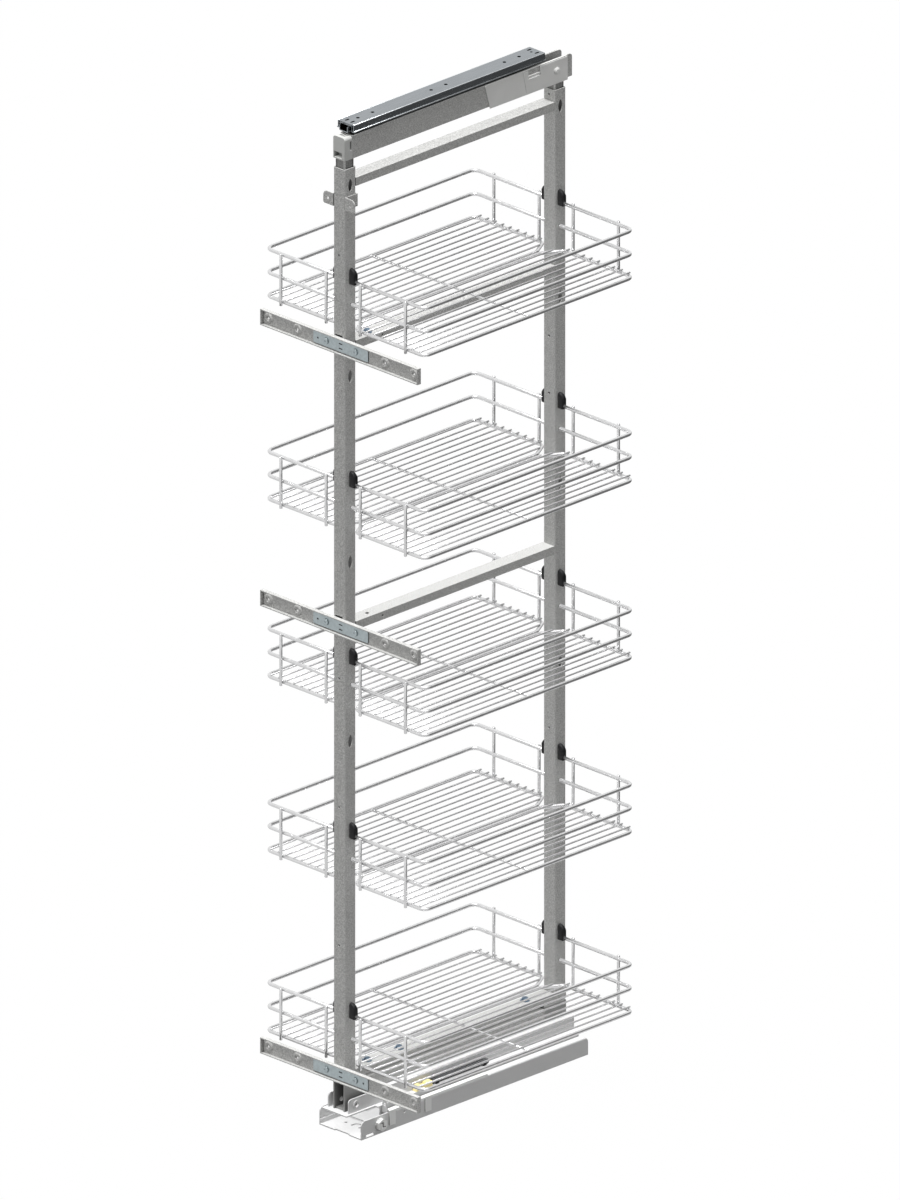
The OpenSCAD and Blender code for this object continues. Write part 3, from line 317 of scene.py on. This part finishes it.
# ---------------------------------------------------------------- shapes

def piece(name, bm, slot, body, replaced=(), smooth=True, material=None):
    """Makes a piece that rides on a body, with its slot's material or a shade of it."""
    mesh = bpy.data.meshes.new(name)
    bmesh.ops.recalc_face_normals(bm, faces=bm.faces)
    bm.to_mesh(mesh)
    bm.free()
    obj = bpy.data.objects.new(name, mesh)
    bpy.context.scene.collection.objects.link(obj)
    mesh.materials.append(material or SLOT_MATERIALS[slot])
    if smooth:
        mesh.polygons.foreach_set("use_smooth", [True] * len(mesh.polygons))
    if replaced:
        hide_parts(*replaced)
    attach(obj, body)


def rounded(points, radius, closed=False, steps=6):
    """Polyline through points with its corners turned into arcs."""
    n = len(points)
    out = []
    for i, corner in enumerate(points):
        if not closed and i in (0, n - 1):
            out.append(corner)
            continue
        u = (points[i - 1] - corner).normalized()
        v = (points[(i + 1) % n] - corner).normalized()
        half = u.angle(v) / 2
        if half > math.radians(89.5):
            out.append(corner)
            continue
        centre = corner + (u + v).normalized() * radius / math.sin(half)
        start = corner + u * radius / math.tan(half) - centre
        end = corner + v * radius / math.tan(half) - centre
        out += [centre + radius * start.slerp(end, k / steps) for k in range(steps + 1)]
    return out


def skin(bm, rings, closed=False):
    """Joins each ring of points to the next, and caps the ends or joins them to each other."""
    pairs = list(zip(rings, rings[1:]))
    if closed:
        pairs.append((rings[-1], rings[0]))
    for a, b in pairs:
        for k in range(len(a)):
            j = (k + 1) % len(a)
            bm.faces.new((a[k], a[j], b[j], b[k]))
    if not closed:
        bm.faces.new(rings[0])
        bm.faces.new(rings[-1])


# The domed end of a wire, as shares of the wire's radius
DOME_LENGTH, DOME_RADIUS = 0.2, 0.8


def sweep(bm, path, radius, closed=False, sides=12):
    """Adds a round wire along a path, with slightly domed ends unless it is closed."""
    n = len(path)
    tangents = []
    for i in range(n):
        before, after = path[(i - 1) % n], path[(i + 1) % n]
        if not closed:
            before, after = path[max(i - 1, 0)], path[min(i + 1, n - 1)]
        tangents.append((after - before).normalized())
    side = tangents[0].orthogonal().normalized()
    rings = []

    def add_ring(centre, tangent, r):
        nonlocal side
        side = (side - tangent * side.dot(tangent)).normalized()
        other = tangent.cross(side)
        angles = (2 * math.pi * k / sides for k in range(sides))
        rings.append([bm.verts.new(centre + r * (math.cos(a) * side + math.sin(a) * other))
                      for a in angles])

    if not closed:
        add_ring(path[0], tangents[0], radius * DOME_RADIUS)
        first_dome = tangents[0] * radius * DOME_LENGTH
        last_dome = tangents[-1] * radius * DOME_LENGTH
        path = [path[0] + first_dome] + path[1:-1] + [path[-1] - last_dome]
    for point, tangent in zip(path, tangents):
        add_ring(point, tangent, radius)
    if not closed:
        add_ring(path[-1] + last_dome, tangents[-1], radius * DOME_RADIUS)
    skin(bm, rings, closed)


# ---------------------------------------------------------------- baskets

RIM_R, UPRIGHT_R, FLOOR_R, SUPPORT_R = 3 * MM, 2.5 * MM, 1.5 * MM, 2 * MM
RIM_BEND = 12 * MM
RAIL_PITCH = 39.5 * MM
NICHE_W, NICHE_L = 48 * MM, 34 * MM
CENTRE_X = 4.2 * MM
UPRIGHT_X = (37.4 * MM, 137 * MM)
UPRIGHT_BITE = 0.5 * MM
FLOOR_FIRST, FLOOR_PITCH, FLOOR_COUNT = 14.1 * MM, 16.6 * MM, 10
FLOOR_PAST_RIM, FLOOR_PAST_BACK = 1 * MM, 4 * MM
FLOOR_LIFT, SUPPORT_LIFT = 4 * MM, 0.8 * MM
RIM_TO_FACE = 7.5 * MM
RIM_TO_BOTTOM = 5 * MM
TOP_RAIL_END = 16 * MM
MIDDLE_RAIL_END = 13.6 * MM


def basket_mesh(lo, hi):
    """Wire basket in its box, as two halves joined by the wire under the floor."""
    bm = bmesh.new()
    x_rim = hi.x - RIM_R
    y0, y1 = lo.y + RIM_TO_FACE, hi.y - RIM_TO_FACE
    z_top, z_low = hi.z - RIM_R, lo.z + RIM_TO_BOTTOM
    z_floor, z_support = z_low + FLOOR_LIFT, z_low + SUPPORT_LIFT
    for s in (-1, 1):
        for z, x_end in ((z_top, TOP_RAIL_END), (z_top - RAIL_PITCH, MIDDLE_RAIL_END)):
            rail = [(x_end, y0), (x_rim, y0), (x_rim, y1), (x_end, y1)]
            sweep(bm, rounded([Vector((s * x, y, z)) for x, y in rail], RIM_BEND), RIM_R)
        loop = [(CENTRE_X, y1 - NICHE_L), (CENTRE_X, y0 + NICHE_L), (NICHE_W / 2, y0),
                (x_rim, y0), (x_rim, y1), (NICHE_W / 2, y1)]
        corners = [Vector((s * x, y, z_low)) for x, y in loop]
        sweep(bm, rounded(corners, RIM_BEND, closed=True), RIM_R, closed=True)
        for x in UPRIGHT_X:
            for y, out in ((y0, -1), (y1, 1)):
                at = Vector((s * x, y + out * (RIM_R + UPRIGHT_R - UPRIGHT_BITE), 0))
                sweep(bm, [at + Vector((0, 0, lo.z)), at + Vector((0, 0, hi.z))], UPRIGHT_R)
        for i in range(FLOOR_COUNT):
            x = FLOOR_FIRST + i * FLOOR_PITCH
            cut = NICHE_L * max(0, NICHE_W / 2 - x) / (NICHE_W / 2 - CENTRE_X)
            start = y0 + cut - FLOOR_PAST_RIM
            end = y1 + (FLOOR_PAST_BACK if cut == 0 else FLOOR_PAST_RIM - cut)
            wire = [Vector((s * x, start, z_floor)), Vector((s * x, end, z_floor))]
            sweep(bm, wire, FLOOR_R, sides=8)
    middle = (y0 + y1) / 2
    sweep(bm, [Vector((-x_rim, middle, z_support)), Vector((x_rim, middle, z_support))], SUPPORT_R)
    return bm


def make_baskets():
    for n in BASKETS:
        node = f"basket_{n}"
        piece(f"wire_{node}", basket_mesh(*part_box(node)), "chrome", node, [node])


# ---------------------------------------------------------------- clips

CLIP_IN, CLIP_OUT = 12.8 * MM, 23.6 * MM
CLIP_HALF_W = 4.3 * MM
CLIP_ARCH_STEPS = 12
CLIP_FOOT_BEVEL = 0.2
CLIP_FOOT_RISE = 3 * MM
CLIP_SINK = 0.62
# Share of the clip's thickness, share of its half width there, and how far its top sinks
CLIP_STATIONS = [
    (0.0, 0.97, 0.0), (0.03, 1.0, 0.0), (0.35, 1.0, 0.02), (0.65, 0.99, 0.13), (0.88, 0.96, 0.3),
    (0.97, 0.9, 0.4), (1.0, 0.82, 0.45),
]


def clip_outline(foot, top, w):
    """Outline of a clip across its thickness: half width w, arched top, bevelled foot."""
    angles = [math.pi * k / CLIP_ARCH_STEPS for k in range(CLIP_ARCH_STEPS + 1)]
    arch = [(w * math.cos(a), top - w + w * math.sin(a)) for a in angles]
    bevel, inset = w * CLIP_FOOT_BEVEL, w * (1 - CLIP_FOOT_BEVEL)
    return [(inset, foot), (w, foot + bevel)] + arch + [(-w, foot + bevel), (-inset, foot)]


def clip_mesh(lo, hi):
    """The four clips of a basket: blunt bullets on the posts that hold the ends of the top rail."""
    bm = bmesh.new()
    for sx in (-1, 1):
        for y in (lo.y + CLIP_HALF_W, hi.y - CLIP_HALF_W):
            rings = []
            for share, width, sink in CLIP_STATIONS:
                x = sx * (CLIP_IN + share * (CLIP_OUT - CLIP_IN))
                top = hi.z - sink * (hi.z - lo.z) * CLIP_SINK
                foot = lo.z + (1 - width) * CLIP_FOOT_RISE
                outline = clip_outline(foot, top, CLIP_HALF_W * width)
                rings.append([bm.verts.new((x, y + across, z)) for across, z in outline])
            skin(bm, rings)
    return bm


def make_clips():
    for n in BASKETS:
        node = f"basket_{n}_clips"
        piece(f"moulded_{node}", clip_mesh(*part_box(node)), "black_plastic", f"basket_{n}", [node])


# ---------------------------------------------------------------- door brackets

RIVET_X = 32 * MM
DOOR_HOLE_X = (96 * MM, 160 * MM)
# Radius and height above the surface in mm, from the middle outwards
RIVET_PROFILE = [
    (0.0, 1.5), (1.3, 1.5), (1.5, 2.3), (4.4, 2.3), (5.1, 1.9), (5.3, 1.2), (5.3, -0.3),
]
BOSS_PROFILE = [
    (3.3, -0.3), (3.3, 1.7), (4.0, 2.2), (6.4, 2.2), (7.4, 1.9), (9.3, 0.4), (9.6, -0.3),
]


def turned(bm, centre, profile, steps=32):
    """Adds a body of revolution about the Y axis, given as (radius, height) towards the front."""
    rings = []
    for r, h in profile:
        if r == 0:
            rings.append([bm.verts.new(centre + Vector((0, -h * MM, 0)))])
            continue
        angles = (2 * math.pi * k / steps for k in range(steps))
        rings.append([bm.verts.new(centre + MM * Vector((r * math.cos(a), -h, r * math.sin(a))))
                      for a in angles])
    for a, b in zip(rings, rings[1:]):
        for k in range(steps):
            j = (k + 1) % steps
            if len(a) == 1:
                bm.faces.new((a[0], b[j], b[k]))
            else:
                bm.faces.new((a[k], a[j], b[j], b[k]))


def make_bracket_details():
    """Rivet heads on the adapter plates, and pressed bosses round the door holes."""
    for n in BRACKETS:
        lo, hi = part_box(f"adapter_plate_{n}")
        middle = (lo + hi) / 2
        heads, bosses = bmesh.new(), bmesh.new()
        for s in (-1, 1):
            turned(heads, Vector((middle.x + s * RIVET_X, lo.y, middle.z)), RIVET_PROFILE)
            for x in DOOR_HOLE_X:
                turned(bosses, Vector((middle.x + s * x, hi.y, middle.z)), BOSS_PROFILE)
        piece(f"rivet_heads_{n}", heads, "zinc", "frame", smooth=False)
        piece(f"door_bosses_{n}", bosses, "powder_grey", "frame", smooth=False)


# ---------------------------------------------------------------- top runner

# Radius of the rolled edges, and their distance from the side and from the top or the foot
TOP_EDGE_R, TOP_EDGE_IN, TOP_EDGE_DOWN = 0.9 * MM, 2.35 * MM, 0.85 * MM
LIP_R, LIP_IN, LIP_UP = 1.0 * MM, 0.9 * MM, 1.3 * MM


def make_runner_edges():
    """Rolled edges along the top and the foot of the runner's outer member, in a lighter zinc that
    paints their highlight.
    """
    lo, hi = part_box("top_runner_outer")
    top_edge = (hi.x - TOP_EDGE_IN, hi.z - TOP_EDGE_DOWN, TOP_EDGE_R)
    lip = (hi.x - LIP_IN, lo.z + LIP_UP, LIP_R)
    bm = bmesh.new()
    for s in (-1, 1):
        for x, z, r in (top_edge, lip):
            sweep(bm, [Vector((s * x, lo.y, z)), Vector((s * x, hi.y, z))], r)
    piece("runner_edges", bm, "zinc", "top_outer", material=RUNNER_EDGE_HIGHLIGHT)


# ---------------------------------------------------------------- camera

CAMERA_AZIMUTH = math.radians(45.2)
CAMERA_ELEVATION = math.radians(22.46)
VIEW_HEIGHT = 1.859
VIEW_RIGHT, VIEW_UP = 0.1632, 0.8224
CAMERA_DISTANCE = 6.0


def add_camera():
    """Parallel view from the front right, centred like the photograph."""
    sa, ca = math.sin(CAMERA_AZIMUTH), math.cos(CAMERA_AZIMUTH)
    se, ce = math.sin(CAMERA_ELEVATION), math.cos(CAMERA_ELEVATION)
    back = Vector((sa * ce, -ca * ce, se))
    right = Vector((ca, sa, 0))
    up = Vector((-sa * se, ca * se, ce))
    lo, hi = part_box("post_front")
    foot = Vector((0, (lo.y + hi.y) / 2, 0))
    place = foot + right * VIEW_RIGHT + up * VIEW_UP + back * CAMERA_DISTANCE
    turn = Matrix((right, up, back)).transposed().to_4x4()
    data = bpy.data.cameras.new("camera")
    data.type = "ORTHO"
    data.ortho_scale = VIEW_HEIGHT
    camera = bpy.data.objects.new("camera", data)
    camera.matrix_world = Matrix.Translation(place) @ turn
    bpy.context.scene.collection.objects.link(camera)
    bpy.context.scene.camera = camera


# ---------------------------------------------------------------- studio

# The studio is white, and dark towards the right rear for what metal mirrors
DARK_SIDE = (0.7071, 0.7071, 0)
DARK = 0.12
LIGHT_FROM = (0.056, -0.142, 0.988)


def seen_directly(tree):
    """1 for rays that show the background itself: camera, glossy and transmission rays."""
    path = tree.nodes.new("ShaderNodeLightPath")
    total = path.outputs["Is Camera Ray"]
    for name in ("Is Glossy Ray", "Is Transmission Ray"):
        total = arithmetic(tree, "MAXIMUM", total, path.outputs[name])
    return total


def mirrored_strength(tree, place, near, far, bright):
    """Strength bright, which falls to DARK from near to far on the dark side for glossy rays."""
    facing = tree.nodes.new("ShaderNodeVectorMath")
    facing.operation = "DOT_PRODUCT"
    facing.inputs[1].default_value = DARK_SIDE
    tree.links.new(place, facing.inputs[0])
    fall = tree.nodes.new("ShaderNodeMapRange")
    fall.inputs["From Min"].default_value = near
    fall.inputs["From Max"].default_value = far
    fall.inputs["To Min"].default_value = bright
    fall.inputs["To Max"].default_value = DARK
    tree.links.new(facing.outputs["Value"], fall.inputs["Value"])
    path = tree.nodes.new("ShaderNodeLightPath")
    return mixed(tree, path.outputs["Is Glossy Ray"], bright, fall.outputs["Result"])


def add_world(ambient=0.25):
    """White all round to the eye, and a weak even light on the unit."""
    world = bpy.data.worlds.new("studio")
    bpy.context.scene.world = world
    world.use_nodes = True
    tree = world.node_tree
    background = tree.nodes["Background"]
    background.inputs["Color"].default_value = (1, 1, 1, 1)
    coords = tree.nodes.new("ShaderNodeTexCoord")
    seen = mirrored_strength(tree, coords.outputs["Generated"], 0.6, 0.85, 1.0)
    strength = mixed(tree, seen_directly(tree), ambient, seen)
    tree.links.new(strength, background.inputs["Strength"])


def add_floor(size=14.0, glow=0.94, bounce=0.2):
    """White floor with a faint shadow, which throws little light back up at the unit."""
    bpy.ops.mesh.primitive_plane_add(size=size, location=(0, 0, 0))
    floor = bpy.context.object
    floor.name = "studio_floor"
    material, tree, shader = new_material("studio_floor")
    shader.inputs["Base Color"].default_value = (bounce, bounce, bounce, 1)
    shader.inputs["Roughness"].default_value = 0.9
    shader.inputs["Specular IOR Level"].default_value = 0.0
    emission = tree.nodes.new("ShaderNodeEmission")
    geometry = tree.nodes.new("ShaderNodeNewGeometry")
    strength = mirrored_strength(tree, geometry.outputs["Position"], 0.4, 1.3, 1.04)
    tree.links.new(strength, emission.inputs["Strength"])
    mix = tree.nodes.new("ShaderNodeMixShader")
    share = arithmetic(tree, "MULTIPLY", seen_directly(tree), glow)
    tree.links.new(share, mix.inputs["Fac"])
    tree.links.new(shader.outputs["BSDF"], mix.inputs[1])
    tree.links.new(emission.outputs["Emission"], mix.inputs[2])
    tree.links.new(mix.outputs["Shader"], tree.nodes["Material Output"].inputs["Surface"])
    floor.data.materials.append(material)


def add_sun(name, strength, softness, shadow=True):
    """Even light from above, with an angular size of softness degrees."""
    data = bpy.data.lights.new(name, "SUN")
    data.energy = strength
    data.angle = math.radians(softness)
    data.use_shadow = shadow
    towards = Vector(LIGHT_FROM)
    lamp = bpy.data.objects.new(name, data)
    lamp.location = towards * 3
    lamp.rotation_euler = towards.to_track_quat("Z", "Y").to_euler()
    bpy.context.scene.collection.objects.link(lamp)


dress_cad_nodes()
make_baskets()
make_clips()
make_bracket_details()
make_runner_edges()
add_camera()
add_world()
add_floor()
add_sun("ceiling", 4.0, 20, shadow=False)
add_sun("key", 1.15, 40)
bpy.context.scene.view_settings.view_transform = "Standard"
